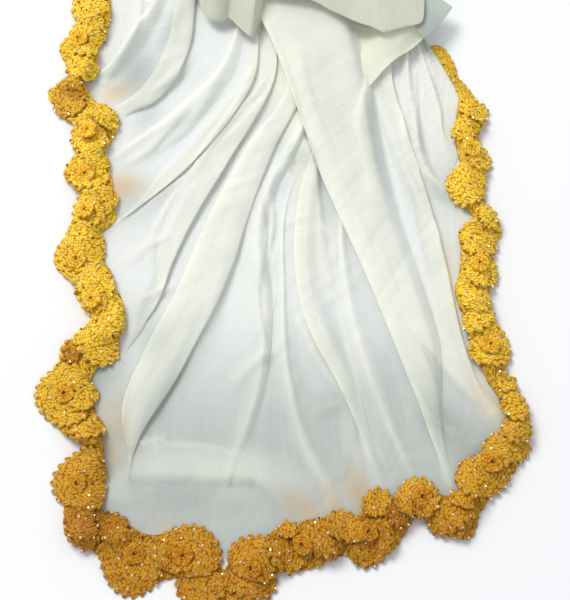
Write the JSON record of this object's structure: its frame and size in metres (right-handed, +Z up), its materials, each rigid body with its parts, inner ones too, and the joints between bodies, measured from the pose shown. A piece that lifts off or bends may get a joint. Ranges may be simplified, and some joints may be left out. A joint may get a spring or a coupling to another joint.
{
  "type": "headscarf",
  "caption": "Long sheer headscarf with a ruffled crocheted edging, laid flat: gathered and bunched at one end, spread in long folds at the other.",
  "frame": {"origin": "middle of the laid scarf's length and width, on the surface that it lies on", "axes": "+Z up off the surface, +Y along the scarf from the spread hem towards the bunch, +X to the right of the spread end"},
  "size_m": [0.5096, 0.8656, 0.0476],
  "materials": {
    "chiffon": "sheer off-white chiffon, matt with a soft sheen",
    "crochet": "saffron crocheted yarn, matt",
    "rose_crochet": "saffron crocheted yarn wound in a spiral, matt",
    "crystal": "small faceted crystals with a pearly coat"
  },
  "bodies": {
    "root": {"cloth_spread": "chiffon", "cloth_bunch": "chiffon", "cloth_wrap": "chiffon", "cloth_lobes": "chiffon", "cloth_swag": "chiffon", "cloth_corner": "chiffon", "edging_left_top": "crochet", "edging_left_middle": "crochet", "edging_left_low": "crochet", "edging_hem_left": "crochet", "edging_hem_right": "crochet", "edging_corner": "crochet", "edging_right_low": "crochet", "edging_right_top": "crochet", "edging_back_right": "crochet", "edging_back_middle": "crochet", "edging_back_left": "crochet", "rose_01": "rose_crochet", "rose_02": "rose_crochet", "rose_03": "rose_crochet", "rose_04": "rose_crochet", "rose_05": "rose_crochet", "rose_06": "rose_crochet", "rose_07": "rose_crochet", "rose_08": "rose_crochet", "rose_09": "rose_crochet", "rose_10": "rose_crochet", "rose_11": "rose_crochet", "rose_12": "rose_crochet", "rose_13": "rose_crochet", "rose_14": "rose_crochet", "rose_15": "rose_crochet", "rose_16": "rose_crochet", "rose_17": "rose_crochet", "rose_18": "rose_crochet"}
  },
  "joints": []
}
